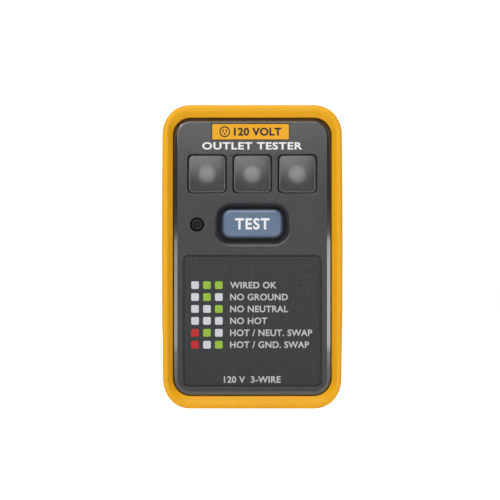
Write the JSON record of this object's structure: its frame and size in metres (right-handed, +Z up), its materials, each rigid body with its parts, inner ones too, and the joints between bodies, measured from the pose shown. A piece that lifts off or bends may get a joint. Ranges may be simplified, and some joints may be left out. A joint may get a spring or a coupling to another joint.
{
  "type": "outlet tester plug",
  "caption": "Handheld plug-in outlet tester: case in a soft bumper, indicator windows, wiring legend, sprung test button and a three-prong plug on the back.",
  "frame": {"origin": "on the plug face, midway between the two flat blades", "axes": "+Y out of the plug face along the blades, +Z up the tester, +X to the right of its face as the user sees it"},
  "size_m": [0.0432, 0.0574, 0.0728],
  "materials": {
    "bumper": "fine matte moulded elastomer, warm yellow",
    "cover": "fine textured charcoal moulding",
    "housing": "fine textured dark charcoal moulding",
    "window": "smoked clear moulding, polished",
    "baffle": "dark grey moulding",
    "lamp": "clear cast epoxy",
    "board": "green solder mask on glass-fibre laminate",
    "brass": "stamped and turned brass, satin",
    "plated": "nickel-plated brass, satin",
    "steel": "zinc-plated steel",
    "clamp": "black glass-filled moulding",
    "button": "blue-grey silicone-touch moulding",
    "switch": "black moulding",
    "plunger": "off-white acetal",
    "legend": "printed film, dark grey with pale lettering",
    "plate": "printed yellow film",
    "port": "black moulding",
    "resistor": "lacquered body with colour bands",
    "diode": "black epoxy with a pale band",
    "varistor": "blue epoxy dip"
  },
  "bodies": {
    "tester_body": {"bumper": "bumper", "front_cover": "cover", "rear_housing": "housing", "window_left": "window", "window_centre": "window", "window_right": "window", "lamp_baffle": "baffle", "led_left": "lamp", "led_centre": "lamp", "led_right": "lamp", "circuit_board": "board", "hot_blade": "brass", "neutral_blade": "plated", "ground_pin": "brass", "blade_clamp": "clamp", "switch_body": "switch", "button_spring": "steel", "legend_label": "legend", "name_plate": "plate", "port_plug": "port", "test_resistor": "resistor", "varistor": "varistor", "housing_screw_1": "steel", "housing_screw_2": "steel", "housing_screw_3": "steel", "housing_screw_4": "steel", "clamp_screw_1": "steel", "board_screw_1": "steel", "clamp_screw_2": "steel", "board_screw_2": "steel", "dropper_resistor_1": "resistor", "diode_1": "diode", "dropper_resistor_2": "resistor", "diode_2": "diode", "dropper_resistor_3": "resistor", "diode_3": "diode"},
    "button": {"test_button": "button", "switch_plunger": "plunger"}
  },
  "joints": [
    {"name": "button_press", "type": "slide", "parent": "tester_body", "child": "button", "axis": [0, 1, 0], "range_m": [0, 0.0015], "stiffness_N_per_m": 800, "deforming": ["button_spring"]}
  ]
}
